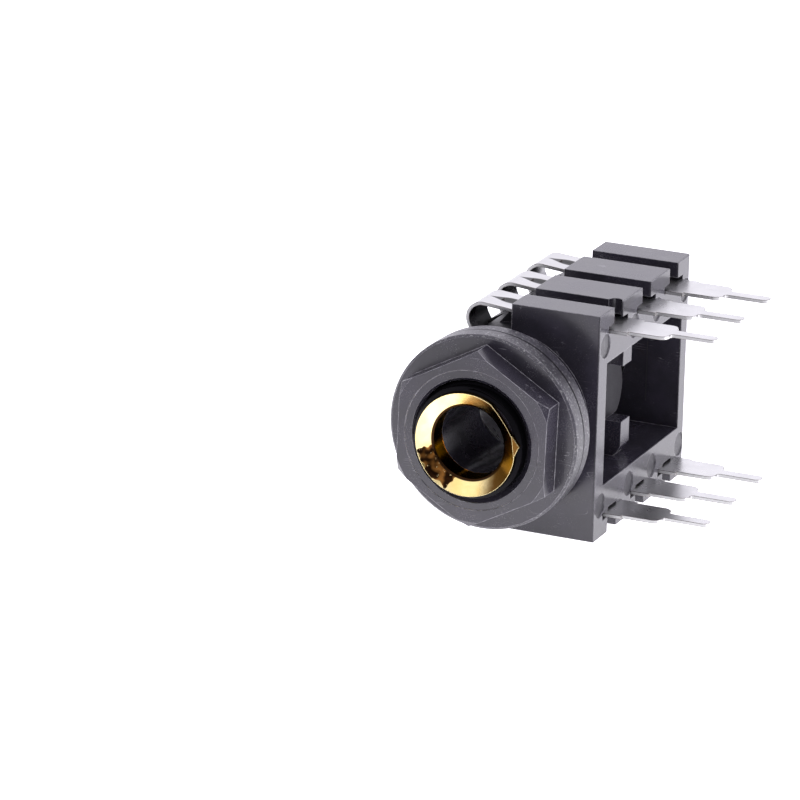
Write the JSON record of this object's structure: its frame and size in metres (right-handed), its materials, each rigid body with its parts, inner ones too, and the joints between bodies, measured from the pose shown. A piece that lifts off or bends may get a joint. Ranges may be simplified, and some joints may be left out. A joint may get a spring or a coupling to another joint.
{
  "type": "audio jack socket",
  "caption": "Switched three-pole 6.35 mm jack socket with a threaded panel bush, flanged nut, washer, gilt ferrule and solder pins along one side.",
  "frame": {"origin": "on the socket's axis, in the plane of the round shoulder that a panel seats against", "axes": "-Y out of the mouth, +X towards the circuit board and the pins, +Z towards the spring hoops"},
  "size_m": [0.0257, 0.0328, 0.02],
  "materials": {
    "housing": "satin moulded",
    "ferrule": "gold plated, polished",
    "washer": "satin moulded",
    "nut": "satin moulded",
    "sleeve_spring": "tin plated, bright",
    "sleeve_switch": "tin plated, bright",
    "ring_spring": "tin plated, bright",
    "ring_switch": "tin plated, bright",
    "tip_spring": "tin plated, bright",
    "tip_switch": "tin plated, bright"
  },
  "bodies": {
    "housing": {"housing": "housing", "ferrule": "ferrule", "sleeve_spring": "sleeve_spring", "sleeve_switch": "sleeve_switch", "ring_spring": "ring_spring", "ring_switch": "ring_switch", "tip_spring": "tip_spring", "tip_switch": "tip_switch"},
    "washer": {"washer": "washer"},
    "nut": {"nut": "nut"}
  },
  "joints": [
    {"name": "washer_slide", "type": "slide", "parent": "housing", "child": "washer", "axis": [0, -1, 0], "range_m": [0, 0.004]},
    {"name": "nut_turn", "type": "hinge", "parent": "washer", "child": "nut", "pos_m": [0, -0.003, 0], "axis": [0, -1, 0], "range_deg": [0, 1440]}
  ],
  "couplings": [
    {"joint": "nut_turn", "follows": "washer_slide", "rad_per_m": 6283.2}
  ]
}
